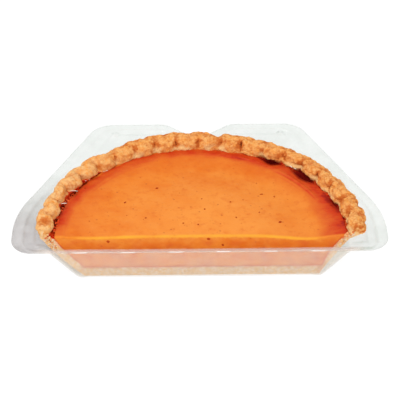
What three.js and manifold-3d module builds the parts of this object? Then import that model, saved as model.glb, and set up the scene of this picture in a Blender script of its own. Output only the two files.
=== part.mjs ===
// Half of a pumpkin pie, cut straight across, in the clear formed tray that it is sold and carried in.
//
// Three pieces: the crust, a shell with a crimped rim; the filling that it holds, showing at the top and
// at the cut; and the tray, a half-round well with a wide flange round it. Lengths are millimetres, angles
// radians. X runs along the cut, +Y away from it, +Z up. The pie is drawn about its own centre, the middle
// of the cut, and the whole is then moved so that the origin is on the surface below the middle of the
// tray's outline.

import * as THREE from 'three';
import { mergeVertices } from 'three/addons/utils/BufferGeometryUtils.js';
import Module from 'manifold-3d';

const wasm = await Module();
wasm.setup();

// ---- driving dimensions: the tray ----

const SHEET = 0.8; // thickness of the formed plastic
const FLANGE_TOP = 25; // height of the outer band of the flange
const SHELF_DROP = 2.5; // how far the shelf inside that band lies below it
const LIP_DEPTH = 0.9; // how far the flange's edge turns down, its top included
const LIP_WIDTH = 0.9;

const WELL_BASE_RADIUS = 81; // outside of the well, at the floor
const WELL_FLARE = 0.87; // how much the well's radius grows for each millimetre of height
const WELL_EDGE_RADIUS = 1.6; // round of the well's two upright edges
const WELL_FOOT_ROUND = 0.4;
const FRONT_CLEARANCE = 0.7; // from the cut to the front wall, at the floor
const FRONT_DRAFT = 0.3; // how much more at the flange

const FLANGE_HALF_WIDTH = 124.4;
const FLANGE_FRONT = -4.6; // front edge of the flange, measured from the cut
const FLANGE_BACK = 138.3;
const SIDE_BEND_Y = 35; // where the sides turn towards the back
const BACK_HALF_WIDTH = 71.8; // where the slanted sides would meet the back edge
const NOTCH_HALF_WIDTH = 23;
const NOTCH_FLOOR_HALF_WIDTH = 6;
const NOTCH_FLOOR_Y = 125;

// Radii of the flange's corners. The notch's floor curves the other way, so its radius is negative.
const FRONT_CORNER = 14;
const SIDE_BEND = 75;
const BACK_CORNER = 18;
const NOTCH_CORNER = 12;
const NOTCH_FLOOR_CORNER = -12;

// Width of the outer band along each kind of edge. The front one ends at the well's front wall.
const BAND_FRONT = -FLANGE_FRONT - FRONT_CLEARANCE - FRONT_DRAFT;
const BAND_SIDE = 7.3;
const BAND_SLANT = 6.6;
const BAND_BACK = 4.8;

const BEAD_INSET = 5; // from the band's inner edge to the bead on the shelf
const BEAD_WIDTH = 3.4;
const BEAD_SLOPE = 0.8; // how far each of its sides leans over its height
const BEAD_HEIGHT = 1.1;
const STUD_X = 59;
const STUD_Y = 127.6;
const STUD_RADIUS = 3;
const STUD_TOP_RADIUS = 2.1;
const STUD_HEIGHT = 1.8;

// ---- driving dimensions: the crust and the filling ----

const CRIMPS = 20; // crimps round the half circle, a crease at each end
const LOBE_FULLNESS = 0.8; // exponent: the lower, the fuller the lobes and the narrower the creases
const LEFT_FULLNESS = -0.15; // what the left side has more
const RIM_RADIUS = 101.3; // middle of the rim's section
const RIM_MIDDLE = 37;
const RIM_OUT = 6.3; // how far the section reaches outwards, inwards and up from there
const RIM_IN = 5.6;
const RIM_UP = 5.5;
const RIM_SQUARENESS = 2.2; // exponent of the section's superellipse
const RIM_UNDERSIDE = -1.31; // turns at which the section leaves the outer and the inner wall
const RIM_INNER_END = 3.8;

// What the crimping does to the rim, in millimetres, and where on its section, as a turn and a spread. A
// turn of 0 is outwards, a quarter turn is the top and half a turn is inwards.
const BULGE = { size: 2.2, turn: 2.95, spread: 0.75 }; // a lobe leans in over the filling
const PIT = { size: 1.9, turn: 2.7, spread: 0.55 }; // the finger's pit between two lobes
const DENT = { size: 1.6, turn: 0.4, spread: 0.9 }; // of the outer edge behind each lobe
const RISE = { size: 0.6, turn: 1.7, spread: 0.6 }; // a lobe stands higher than a crease
const SHIFT = { size: 0.7, turn: 1.2, spread: 1 }; // and no two lobes are alike
const CRUMBLE = { size: 4.4, turn: -0.2, spread: 1.1 }; // dough lost from the outer side at the cut
const CRUMBLE_ANGLE = 0.05; // how far round from the cut
const CRUMBLE_RIGHT = 0.5; // share of it that the right end has
const CHIPPED = { size: 1, turn: 0.7, spread: 0.8 }; // dough lost from the outer edge, for each mm of a chip
const CHIPS = [{ at: 82.5, spread: 1.6, size: 3.6 }, { at: 127, spread: 2.4, size: 2.4 }]; // at in degrees
const UNDERCUT = { size: 2.4, turn: -1.1, spread: 0.5 }; // of the rim's underside at the right end
const UNDERCUT_WALL = 5; // and of the top of the wall below it
const UNDERCUT_SPREAD = 6; // in degrees
const LOBE_VARIETY = 0.3; // how much the lobes differ in size, as a share
const PIT_VARIETY = 0.5;
const MEAN_LOBE = 0.5; // the lobe that a crease and a lobe average to, so that the rim keeps its width
const LUMP_HEIGHT = 0.35; // small lumps of the baked dough, round the rim and round its section
const LUMPS = [{ round: 61, over: 3 }, { round: 23, over: -2 }];

// How the rim differs round the pie, places in degrees from the right end of the cut: it flares out at both
// ends, is flatter at the upper right and slimmer on the left, where its lobes are plumper.
const RIGHT_FLARE = { from: 30, to: 8, size: 1.8 };
const LEFT_FLARE = { from: 166, to: 176, size: 1.2 };
const UPPER_RIGHT_FLAT = { at: 72, spread: 20, size: 1.3 };
const LEFT_SLIMNESS = { from: 145, to: 158, size: 0.17 };
const LEFT_SIDE = { from: 118, to: 142 };
const RIGHT_SIDE = { from: 66, to: 44 };
const LEFT_PLUMPNESS = 0.5; // how much more the rim is crimped on the left, as a share
const BACK_PLUMPNESS = -0.25;
const PINCH = { size: 1.7, turn: 1.9, spread: 1.15 }; // creases that run right over the left lobes
const PINCH_REST = 0.25; // how far the left lobes stand out between them
const TUCK = { size: 1, turn: 3, spread: 0.8 }; // of the rim's inner side, for each mm that it stands back
const TUCKS = [
  { at: 48, spread: 10, size: 2.4 },
  { at: 30, spread: 5, size: 1.5 },
  { at: 157, spread: 10, size: 1.8 },
  { at: 100, spread: 35, size: -1.2 }, // and here it stands forward
];

// The wall leans, and so does the filling: a lean is what the right end of the cut has more than the back,
// and the left end less.
const CRUST_FOOT = SHEET + 0.3; // underside of the crust, just clear of the tray's floor
const CRUST_FOOT_RADIUS = 79;
const CRUST_FLOOR = 8.3; // where the filling starts
const CRUST_FLOOR_RADIUS = 78.4;
const CRUST_FLOOR_LEAN = 2.4;
const CRUST_WALL_TOP_RADIUS = 100.6;
const CRUST_WALL_TOP = 31;
const CRUST_INNER_TOP_RADIUS = 95.6;
const CRUST_INNER_TOP = 33;
const THICKER_AT_CUT = { from: 14, to: 2, size: 2 }; // the wall's inside is nearer where it meets the cut
const OUTER_BELLY = 1; // how far the sloping wall bellies out between floor and rim
const OUTER_LEAN = -1.7;
const INNER_BELLY = -0.4;
const INNER_LEAN = -1.6;

const GAP = 0.3; // between the filling and the crust
const FILLING_LEVEL = 34.3; // at the middle of the cut
const SAG = 2.1; // dip of the surface some way in from the crust
const SAG_LEAN = 1;
const SAG_RADIUS = 71;
const SAG_INNER_SPREAD = 22;
const SAG_OUTER_SPREAD = 16;

// ---- how finely the faces are cut ----

const SLICES_PER_CRIMP = 7;
const RIM_STEPS = 15;
const WALL_STEPS = 4;
const FILLING_SLICES = 70;
const FILLING_RINGS = [0, 14, 28, 42, 54, 64, 72, 79, 85, 90, 93];
const WELL_ARC_STEPS = 64;
const WELL_EDGE_STEPS = 4;
const STUD_SIDES = 16;
const OUTLINE_STEP = 0.16; // angle between points on a rounded corner
const MERGE_DISTANCE = 1e-4; // points closer than this are one point
const SMALLEST_AREA = 1e-6;
const MARGIN = 1; // how far a cutting body reaches past what it cuts

// ---- small helpers ----

// A repeatable uneven number from -1 to 1 for each whole number and purpose.
function uneven(index, purpose) {
  const [indexStep, purposeStep, stretch] = [12.9898, 78.233, 43758.5453];
  const value = Math.sin(index * indexStep + purpose * purposeStep) * stretch;
  return 2 * (value - Math.floor(value)) - 1;
}

// A smooth hump of height 1 at middle, falling away over spread.
function hump(value, middle, spread) {
  return Math.exp(-(((value - middle) / spread) ** 2));
}

// A smooth rise from 0 at from to 1 at to, and no further. from may be the larger.
function rise(value, { from, to }) {
  const share = Math.min(1, Math.max(0, (value - from) / (to - from)));
  return share * share * (3 - 2 * share);
}

// A closed body from triangles given as triples of points.
function bodyFromTriangles(triangles) {
  const coordinates = triangles
    .filter(([a, b, c]) => new THREE.Triangle(a, b, c).getArea() > SMALLEST_AREA)
    .flatMap((corners) => corners.flatMap((p) => [p.x, p.y, p.z]));
  const geometry = new THREE.BufferGeometry();
  geometry.setAttribute('position', new THREE.Float32BufferAttribute(coordinates, 3));
  return mergeVertices(geometry, MERGE_DISTANCE);
}

// Sweeps a closed section, a list of (radius, height) points that starts and ends on the axis, through the
// half circle, and closes it with the two faces of the cut. sectionAt gives the section at an angle.
function sweepHalfCircle(sectionAt, slices) {
  const sections = [];
  for (let i = 0; i <= slices; i += 1) {
    sections.push(sectionAt((Math.PI * i) / slices));
  }
  const rings = sections.map((section, i) => {
    const angle = (Math.PI * i) / slices;
    const along = i === slices ? -1 : Math.cos(angle);
    const away = i === slices ? 0 : Math.sin(angle);
    return section.map((p) => new THREE.Vector3(p.x * along, p.x * away, p.y));
  });
  const triangles = [];
  for (let i = 0; i < slices; i += 1) {
    for (let j = 0; j + 1 < rings[i].length; j += 1) {
      triangles.push([rings[i][j + 1], rings[i][j], rings[i + 1][j]]);
      triangles.push([rings[i][j + 1], rings[i + 1][j], rings[i + 1][j + 1]]);
    }
  }
  for (const [a, b, c] of THREE.ShapeUtils.triangulateShape(sections[0], [])) {
    triangles.push([rings[0][a], rings[0][b], rings[0][c]]);
  }
  for (const [a, b, c] of THREE.ShapeUtils.triangulateShape(sections[slices], [])) {
    triangles.push([rings[slices][c], rings[slices][b], rings[slices][a]]);
  }
  return bodyFromTriangles(triangles);
}

// A closed body through outlines of equal length, each given as {outline, z}, lowest first.
function loft(levels) {
  const rings = levels.map(({ outline, z }) => outline.map((p) => new THREE.Vector3(p.x, p.y, z)));
  const triangles = [];
  for (let level = 0; level + 1 < rings.length; level += 1) {
    const low = rings[level];
    const high = rings[level + 1];
    low.forEach((corner, i) => {
      const next = (i + 1) % low.length;
      triangles.push([corner, low[next], high[next]]);
      triangles.push([corner, high[next], high[i]]);
    });
  }
  const cap = (level, flip) => {
    for (const [a, b, c] of THREE.ShapeUtils.triangulateShape(levels[level].outline, [])) {
      const ring = rings[level];
      triangles.push(flip ? [ring[c], ring[b], ring[a]] : [ring[a], ring[b], ring[c]]);
    }
  };
  cap(0, true);
  cap(levels.length - 1, false);
  return bodyFromTriangles(triangles);
}

// ---- joining and cutting ----

function toSolid(geometry) {
  const bare = geometry.clone();
  bare.deleteAttribute('normal');
  bare.deleteAttribute('uv');
  const merged = mergeVertices(bare, MERGE_DISTANCE);
  const vertProperties = new Float32Array(merged.attributes.position.array);
  const triVerts = new Uint32Array(merged.index.array);
  return new wasm.Manifold(new wasm.Mesh({ numProp: 3, vertProperties, triVerts }));
}

function toGeometry(solid) {
  const { vertProperties, triVerts } = solid.getMesh();
  const geometry = new THREE.BufferGeometry();
  geometry.setAttribute('position', new THREE.BufferAttribute(new Float32Array(vertProperties), 3));
  geometry.setIndex(new THREE.BufferAttribute(new Uint32Array(triVerts), 1));
  return geometry;
}

// ---- the crust ----

function degrees(angle) {
  return THREE.MathUtils.radToDeg(angle);
}

function degreesFromCut(angle) {
  return Math.min(degrees(angle), 180 - degrees(angle));
}

// How far out the rim stands of a true circle.
function rimShift(angle) {
  const flare = RIGHT_FLARE.size * rise(degrees(angle), RIGHT_FLARE)
    + LEFT_FLARE.size * rise(degrees(angle), LEFT_FLARE);
  const { at, spread, size } = UPPER_RIGHT_FLAT;
  return flare - size * hump(degrees(angle), at, spread);
}

// How strongly the rim is crimped.
function plumpness(angle) {
  const left = rise(degrees(angle), LEFT_SIDE);
  const right = rise(degrees(angle), RIGHT_SIDE);
  return 1 + LEFT_PLUMPNESS * left + BACK_PLUMPNESS * (1 - left) * (1 - right);
}

// 0 at a crease and 1 in the middle of a lobe, with a sharp crease and a full lobe.
function lobeAt(angle) {
  const fullness = LOBE_FULLNESS + LEFT_FULLNESS * rise(degrees(angle), LEFT_SIDE);
  return Math.abs(Math.sin(CRIMPS * angle)) ** fullness;
}

// 1 behind a crease and 0 behind the middle of a lobe, where the outer edge is dented.
function backAt(angle) {
  return Math.abs(Math.cos(CRIMPS * angle)) ** LOBE_FULLNESS;
}

// How much of a feature of the rim is felt at a turn, in millimetres.
function felt({ size, turn: middle, spread }, turn) {
  return size * hump(turn, middle, spread);
}

// Distance from the middle of the rim's section to its surface, before the crimping.
function plainReach(angle, turn) {
  const slim = 1 - LEFT_SLIMNESS.size * rise(degrees(angle), LEFT_SLIMNESS);
  const reach = slim * (Math.cos(turn) > 0 ? RIM_OUT : RIM_IN);
  const across = (Math.abs(Math.cos(turn)) / reach) ** RIM_SQUARENESS;
  const upwards = (Math.abs(Math.sin(turn)) / RIM_UP) ** RIM_SQUARENESS;
  return (across + upwards) ** (-1 / RIM_SQUARENESS);
}

function rimReach(angle, turn) {
  const crimp = Math.floor((CRIMPS * angle) / Math.PI);
  const lobe = lobeAt(angle);
  const ownLobe = lobe * (1 + LOBE_VARIETY * uneven(crimp, 1));
  const [lumps, otherLumps] = LUMPS.map(({ round, over }) => Math.sin(round * angle + over * turn));
  const left = rise(degrees(angle), LEFT_SIDE);
  const fromCut = Math.min(angle, Math.PI - angle);
  const crumbled = hump(fromCut, 0, CRUMBLE_ANGLE) * (angle < Math.PI / 2 ? CRUMBLE_RIGHT : 1);
  const summed = (places) => places
    .map(({ at, spread, size }) => size * hump(degrees(angle), at, spread))
    .reduce((sum, depth) => sum + depth);
  const crimping = (ownLobe - MEAN_LOBE) * felt(BULGE, turn)
    - (1 - lobe) ** 2 * felt(PIT, turn) * (1 + PIT_VARIETY * uneven(crimp, 3))
    - (MEAN_LOBE - backAt(angle)) * felt(DENT, turn)
    + (lobe * lobe - MEAN_LOBE) * felt(RISE, turn);
  return plainReach(angle, turn)
    + crimping * plumpness(angle)
    + (PINCH_REST - (1 - lobe) ** 2) * felt(PINCH, turn) * left
    + lobe * uneven(crimp, 2) * felt(SHIFT, turn)
    + LUMP_HEIGHT * lumps * otherLumps
    - crumbled * felt(CRUMBLE, turn)
    - summed(CHIPS) * felt(CHIPPED, turn)
    - summed(TUCKS) * felt(TUCK, turn)
    - hump(degrees(angle), 0, UNDERCUT_SPREAD) * felt(UNDERCUT, turn);
}

function rimPoint(angle, turn) {
  const reach = rimReach(angle, turn);
  return new THREE.Vector2(
    RIM_RADIUS + rimShift(angle) + reach * Math.cos(turn),
    RIM_MIDDLE + reach * Math.sin(turn),
  );
}

// Points of a sloping wall from (r0, z0) up to (r1, z1), bellied outwards, both ends included.
function bellied(r0, z0, r1, z1, belly) {
  const points = [];
  for (let i = 0; i <= WALL_STEPS; i += 1) {
    const share = i / WALL_STEPS;
    const out = belly * 4 * share * (1 - share);
    points.push(new THREE.Vector2(r0 + (r1 - r0) * share + out, z0 + (z1 - z0) * share));
  }
  return points;
}

// The surface that the crust and the filling share, floor first, moved inwards by clearance.
function innerWall(angle, clearance) {
  const thicker = THICKER_AT_CUT.size * rise(degreesFromCut(angle), THICKER_AT_CUT);
  return bellied(
    CRUST_FLOOR_RADIUS + CRUST_FLOOR_LEAN * Math.cos(angle) - clearance,
    CRUST_FLOOR + clearance,
    CRUST_INNER_TOP_RADIUS + rimShift(angle) - thicker - clearance,
    CRUST_INNER_TOP,
    INNER_BELLY + INNER_LEAN * Math.cos(angle),
  );
}

function outerWall(angle) {
  const undercut = UNDERCUT_WALL * hump(degrees(angle), 0, UNDERCUT_SPREAD);
  return bellied(
    CRUST_FOOT_RADIUS,
    CRUST_FOOT,
    CRUST_WALL_TOP_RADIUS + rimShift(angle) - undercut,
    CRUST_WALL_TOP,
    OUTER_BELLY + OUTER_LEAN * Math.cos(angle),
  );
}

function crustSection(angle) {
  const section = [new THREE.Vector2(0, CRUST_FOOT)];
  section.push(...outerWall(angle));
  for (let i = 0; i <= RIM_STEPS; i += 1) {
    const turn = RIM_UNDERSIDE + ((RIM_INNER_END - RIM_UNDERSIDE) * i) / RIM_STEPS;
    section.push(rimPoint(angle, turn));
  }
  section.push(...innerWall(angle, 0).reverse());
  section.push(new THREE.Vector2(0, CRUST_FLOOR));
  return section;
}

function makeCrust() {
  const material = new THREE.MeshStandardMaterial({ color: 0xdda266, roughness: 0.85, metalness: 0 });
  const mesh = new THREE.Mesh(sweepHalfCircle(crustSection, CRIMPS * SLICES_PER_CRIMP), material);
  mesh.name = 'crust';
  return mesh;
}

// ---- the filling ----

function fillingHeight(angle, radius) {
  const spread = radius < SAG_RADIUS ? SAG_INNER_SPREAD : SAG_OUTER_SPREAD;
  return FILLING_LEVEL - (SAG + SAG_LEAN * Math.cos(angle)) * hump(radius, SAG_RADIUS, spread);
}

function fillingSection(angle) {
  const section = [new THREE.Vector2(0, CRUST_FLOOR + GAP), ...innerWall(angle, GAP)];
  const inwards = [...FILLING_RINGS].reverse();
  section.push(...inwards.map((radius) => new THREE.Vector2(radius, fillingHeight(angle, radius))));
  return section;
}

function makeFilling() {
  const material = new THREE.MeshStandardMaterial({ color: 0xe87a2c, roughness: 0.45, metalness: 0 });
  const mesh = new THREE.Mesh(sweepHalfCircle(fillingSection, FILLING_SLICES), material);
  mesh.name = 'pumpkin_filling';
  return mesh;
}

// ---- the tray ----

// Outline of the well: half a disc whose two upright edges are rounded, anticlockwise from its right edge.
function wellOutline(radius, front) {
  const edge = WELL_EDGE_RADIUS;
  const edgeX = Math.sqrt((radius - edge) ** 2 - (front + edge) ** 2);
  const start = Math.atan2(front + edge, edgeX);
  const right = [];
  for (let i = 0; i < WELL_EDGE_STEPS; i += 1) {
    const turn = -Math.PI / 2 + ((start + Math.PI / 2) * i) / WELL_EDGE_STEPS;
    right.push(new THREE.Vector2(edgeX + edge * Math.cos(turn), front + edge + edge * Math.sin(turn)));
  }
  const back = [];
  for (let i = 0; i <= WELL_ARC_STEPS; i += 1) {
    const turn = start + ((Math.PI - 2 * start) * i) / WELL_ARC_STEPS;
    back.push(new THREE.Vector2(radius * Math.cos(turn), radius * Math.sin(turn)));
  }
  const left = right.map((p) => new THREE.Vector2(-p.x, p.y)).reverse();
  return [...right, ...back, ...left];
}

// The well's outline at a height, moved inwards by inset for the inside.
function wellLevel(z, inset) {
  const radius = WELL_BASE_RADIUS + WELL_FLARE * z - inset * Math.SQRT2;
  const draft = FRONT_DRAFT * Math.min(1, z / (FLANGE_TOP - SHELF_DROP));
  const front = -FRONT_CLEARANCE - draft - SHEET + inset;
  return { outline: wellOutline(radius, front), z };
}

function wellSolid(inset, floor, top) {
  const foot = wellLevel(floor, inset + WELL_FOOT_ROUND);
  const levels = [foot, wellLevel(floor + WELL_FOOT_ROUND, inset), wellLevel(top, inset)];
  return toSolid(loft(levels));
}

// Outline of the flange, moved inwards on every edge by that edge's band times scale, plus extra.
function flangeOutline(scale, extra) {
  const edges = [
    { from: [FLANGE_HALF_WIDTH, FLANGE_FRONT], band: BAND_SIDE, corner: FRONT_CORNER },
    { from: [FLANGE_HALF_WIDTH, SIDE_BEND_Y], band: BAND_SLANT, corner: SIDE_BEND },
    { from: [BACK_HALF_WIDTH, FLANGE_BACK], band: BAND_BACK, corner: BACK_CORNER },
    { from: [NOTCH_HALF_WIDTH, FLANGE_BACK], band: BAND_BACK, corner: NOTCH_CORNER },
    { from: [NOTCH_FLOOR_HALF_WIDTH, NOTCH_FLOOR_Y], band: BAND_BACK, corner: NOTCH_FLOOR_CORNER },
    { from: [-NOTCH_FLOOR_HALF_WIDTH, NOTCH_FLOOR_Y], band: BAND_BACK, corner: NOTCH_FLOOR_CORNER },
    { from: [-NOTCH_HALF_WIDTH, FLANGE_BACK], band: BAND_BACK, corner: NOTCH_CORNER },
    { from: [-BACK_HALF_WIDTH, FLANGE_BACK], band: BAND_SLANT, corner: BACK_CORNER },
    { from: [-FLANGE_HALF_WIDTH, SIDE_BEND_Y], band: BAND_SIDE, corner: SIDE_BEND },
    { from: [-FLANGE_HALF_WIDTH, FLANGE_FRONT], band: BAND_FRONT, corner: FRONT_CORNER },
  ];
  const lines = edges.map((edge, i) => {
    const start = new THREE.Vector2(...edge.from);
    const end = new THREE.Vector2(...edges[(i + 1) % edges.length].from);
    const direction = end.clone().sub(start).normalize();
    const inwards = new THREE.Vector2(-direction.y, direction.x);
    return { point: start.addScaledVector(inwards, edge.band * scale + extra), direction };
  });
  return edges.flatMap((edge, i) => {
    const before = lines[(i + lines.length - 1) % lines.length];
    const after = lines[i];
    const radius = Math.abs(edge.corner - edge.band * scale - extra);
    return roundedCorner(crossing(before, after), before.direction, after.direction, radius);
  });
}

// Where two lines, each a point and a direction, cross.
function crossing(one, two) {
  const between = two.point.clone().sub(one.point);
  const along = between.cross(two.direction) / one.direction.cross(two.direction);
  return one.point.clone().addScaledVector(one.direction, along);
}

// The arc that rounds a corner between two directions of travel.
function roundedCorner(corner, into, out, radius) {
  const turn = Math.atan2(into.cross(out), into.dot(out));
  const cut = radius * Math.tan(Math.abs(turn) / 2);
  const start = corner.clone().addScaledVector(into, -cut);
  const left = new THREE.Vector2(-into.y, into.x);
  const centre = start.clone().addScaledVector(left, Math.sign(turn) * radius);
  const steps = Math.max(2, Math.round(Math.abs(turn) / OUTLINE_STEP));
  const points = [];
  for (let i = 0; i <= steps; i += 1) {
    points.push(start.clone().rotateAround(centre, (turn * i) / steps));
  }
  return points;
}

function plate(outline, bottom, top) {
  return toSolid(loft([{ outline, z: bottom }, { outline, z: top }]));
}

// The bead on the shelf: a low ridge that runs round behind the band and stops at the well.
function makeBead(shelf) {
  const low = shelf - SHEET / 2;
  const inner = BEAD_INSET + BEAD_WIDTH;
  const mound = loft([
    { outline: flangeOutline(1, BEAD_INSET), z: low },
    { outline: flangeOutline(1, BEAD_INSET), z: shelf },
    { outline: flangeOutline(1, BEAD_INSET + BEAD_SLOPE), z: shelf + BEAD_HEIGHT },
  ]);
  const hollow = loft([
    { outline: flangeOutline(1, inner), z: low - MARGIN },
    { outline: flangeOutline(1, inner), z: shelf },
    { outline: flangeOutline(1, inner - 2 * BEAD_SLOPE), z: shelf + 2 * BEAD_HEIGHT },
  ]);
  const well = plate(wellLevel(shelf, -BEAD_SLOPE).outline, low - MARGIN, shelf + BEAD_HEIGHT + MARGIN);
  return toSolid(mound).subtract(toSolid(hollow)).subtract(well);
}

// One of the two studs at the back of the shelf, standing half a sheet deep in it.
function makeStud(x, shelf) {
  const height = STUD_HEIGHT + SHEET / 2;
  const stud = new THREE.CylinderGeometry(STUD_TOP_RADIUS, STUD_RADIUS, height, STUD_SIDES);
  stud.rotateX(Math.PI / 2);
  stud.translate(x, STUD_Y, shelf + STUD_HEIGHT - height / 2);
  return toSolid(stud);
}

function makeTray() {
  const shelf = FLANGE_TOP - SHELF_DROP;
  const lipFoot = FLANGE_TOP - LIP_DEPTH;
  const above = FLANGE_TOP + MARGIN;
  const edge = flangeOutline(0, 0);

  const lip = plate(edge, lipFoot, FLANGE_TOP)
    .subtract(plate(flangeOutline(0, LIP_WIDTH), lipFoot - MARGIN, above));
  const band = plate(edge, FLANGE_TOP - SHEET, FLANGE_TOP);
  const pan = plate(flangeOutline(1, -SHEET), shelf - SHEET, FLANGE_TOP);
  const outside = band.add(lip).add(pan).add(wellSolid(0, 0, shelf));
  const shelfSpace = plate(flangeOutline(1, 0), shelf, above);
  const wellSpace = wellSolid(SHEET, SHEET, shelf + MARGIN);
  const tray = outside.subtract(shelfSpace).subtract(wellSpace)
    .add(makeBead(shelf))
    .add(makeStud(-STUD_X, shelf))
    .add(makeStud(STUD_X, shelf));

  const material = new THREE.MeshStandardMaterial({
    color: 0xf0f4f2, roughness: 0.08, metalness: 0, transparent: true, opacity: 0.25,
  });
  const mesh = new THREE.Mesh(toGeometry(tray), material);
  mesh.name = 'clear_tray';
  return mesh;
}

// ---- the whole ----

const group = new THREE.Group();
group.position.y = -(FLANGE_FRONT + FLANGE_BACK) / 2;
group.add(makeCrust(), makeFilling(), makeTray());

export default group;
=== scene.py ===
"""Looks of half a pumpkin pie in its clear formed tray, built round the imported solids.

Shapes are worked out in millimetres about the pie's own centre, the middle of the cut: X runs along the
cut, Y away from it and Z up. An angle of 0 is the right end of the cut and half a turn the left end. A
turn is a place on the rim's section: 0 outwards, a quarter turn up and half a turn inwards.
"""

import math

import bmesh
import bpy
import numpy as np
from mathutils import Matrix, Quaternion, Vector, geometry, noise


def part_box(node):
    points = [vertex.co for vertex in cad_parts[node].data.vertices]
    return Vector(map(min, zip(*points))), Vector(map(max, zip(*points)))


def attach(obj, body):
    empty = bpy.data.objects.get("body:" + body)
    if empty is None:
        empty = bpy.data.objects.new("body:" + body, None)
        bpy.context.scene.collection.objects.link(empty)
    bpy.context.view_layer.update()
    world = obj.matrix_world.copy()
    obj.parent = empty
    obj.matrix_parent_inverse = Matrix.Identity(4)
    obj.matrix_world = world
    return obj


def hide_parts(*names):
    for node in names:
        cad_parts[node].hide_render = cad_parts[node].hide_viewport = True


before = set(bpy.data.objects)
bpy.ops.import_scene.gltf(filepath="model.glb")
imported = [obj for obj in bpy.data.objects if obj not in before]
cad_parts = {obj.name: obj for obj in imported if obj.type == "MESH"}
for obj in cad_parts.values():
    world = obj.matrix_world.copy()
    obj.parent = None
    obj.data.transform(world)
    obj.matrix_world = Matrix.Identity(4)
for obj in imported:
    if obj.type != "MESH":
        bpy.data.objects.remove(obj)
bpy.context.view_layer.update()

MM = 0.001
CUT_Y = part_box("pumpkin_filling")[0].y  # where the cut lies in the row frame, in metres
SEED = 20
LIGHT = 1.4  # how bright the light makes a level white surface, where 1 just reaches white

# ---- the crust, as in the solids ----

CRIMPS = 20
LOBE_FULLNESS = 0.8
RIM_RADIUS, RIM_MIDDLE = 101.3, 37.0
RIM_OUT, RIM_IN, RIM_UP = 6.3, 5.6, 5.5
RIM_SQUARENESS = 2.2
RIM_UNDERSIDE, RIM_INNER_END = -1.31, 3.8

# What the crimping does to the rim: millimetres, and where on the section as a turn and a spread.
BULGE = (2.2, 2.95, 0.75)
PIT = (1.9, 2.7, 0.55)
DENT = (1.6, 0.4, 0.9)
RISE = (0.6, 1.7, 0.6)
SHIFT = (0.7, 1.2, 1.0)
CRUMBLE = (4.4, -0.2, 1.1)
CRUMBLE_ANGLE = 0.05
CHIPPED = (1.0, 0.7, 0.8)
CHIPS = ((82.5, 1.6, 3.6), (127.0, 2.4, 2.4))  # dough lost from the outer edge: degrees, spread and mm
UNDERCUT = (2.4, -1.1, 0.5)  # of the rim's underside at the right end
UNDERCUT_SPREAD = 6.0  # degrees
UNDERCUT_WALL = 5.0  # and of the top of the wall below it
TUCK = (1.0, 3.0, 0.8)
# How far the rim's inner side stands back: degrees, spread and mm.
TUCKS = ((48.0, 10.0, 2.4), (30.0, 5.0, 1.5), (157.0, 10.0, 1.8), (100.0, 35.0, -1.2))
LOBE_VARIETY, PIT_VARIETY, MEAN_LOBE = 0.3, 0.5, 0.5
LUMP_HEIGHT = 0.35
LUMPS = ((61, 3), (23, -2))  # waves along the rim and round its section

# How the rim differs round the pie: it flares at the right end, is flatter at the upper right and slimmer
# at the left end.
RIGHT_FLARE, LEFT_FLARE, UPPER_RIGHT_FLAT, LEFT_SLIMNESS = 1.8, 1.2, 1.3, 0.17

# The wall leans: each value is at the back, and a lean is what the right end has more than the back.
CRUST_FOOT, CRUST_FOOT_RADIUS = 1.1, 79.0
CRUST_FLOOR, CRUST_FLOOR_RADIUS, CRUST_FLOOR_LEAN = 8.3, 78.4, 2.4
CRUST_WALL_TOP, CRUST_WALL_TOP_RADIUS = 31.0, 100.6
CRUST_INNER_TOP, CRUST_INNER_TOP_RADIUS = 33.0, 95.6
THICKER_AT_CUT = 2.0  # how much nearer the wall's inside is where it meets the cut
OUTER_BELLY, OUTER_LEAN = 1.0, -1.7
LEFT_FOOT_IN, LEFT_BELLY_IN = 2.4, 1.2  # how much further in the outer wall stands at the left end
RIGHT_CORNER, RIGHT_CORNER_SPREAD = 2.2, 3.5  # more thickness in the last few degrees of the right end
INNER_BELLY, INNER_LEAN = -0.4, -1.6

# ---- the filling, as in the solids ----

GAP = 0.06  # between filling and crust, where the solids keep more
FILLING_LEVEL = 34.3
SAG, SAG_LEAN, SAG_RADIUS, SAG_INNER_SPREAD, SAG_OUTER_SPREAD = 2.1, 1.0, 71.0, 22.0, 16.0

# ---- the tray, as in the solids ----

SHEET = 0.8
FLANGE_TOP, SHELF, LIP_DEPTH = 25.0, 22.5, 0.9
WELL_BASE_RADIUS, WELL_FLARE, WELL_EDGE_RADIUS = 81.0, 0.87, 1.6
FRONT_CLEARANCE, FRONT_DRAFT = 0.7, 0.3
FLANGE_FRONT = -4.6
# Corners of the flange's right half, from the front to the notch's floor: x, y and the rounding, which is
# below 0 where the outline turns the other way.
FLANGE_CORNERS = (
    (124.4, FLANGE_FRONT, 14.0), (124.4, 35.0, 75.0), (71.8, 138.3, 18.0), (23.0, 138.3, 12.0),
    (6.0, 125.0, -12.0),
)
BAND_FRONT = -FLANGE_FRONT - FRONT_CLEARANCE - FRONT_DRAFT  # width of the flange's raised edge
BAND_SIDE, BAND_SLANT, BAND_BACK = 7.3, 6.6, 4.8
BEAD_INSET, BEAD_WIDTH, BEAD_SLOPE, BEAD_HEIGHT = 5.0, 3.4, 0.8, 1.1
STUD_X, STUD_Y, STUD_HEIGHT = 59.0, 127.6, 1.8
STUD_RADIUS, STUD_TOP_RADIUS = 3.4, 1.6  # a softer slope than the solids have


# ---- small helpers ----


def smooth(low, high, value):
    """0 below low, 1 above high and a smooth rise between them. low may be the larger."""
    share = np.clip((value - low) / (high - low), 0, 1)
    return share * share * (3 - 2 * share)


def hump(value, middle, spread):
    return np.exp(-(((value - middle) / spread) ** 2))


def toward(value, goal, share):
    return value + (goal - value) * share


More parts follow.
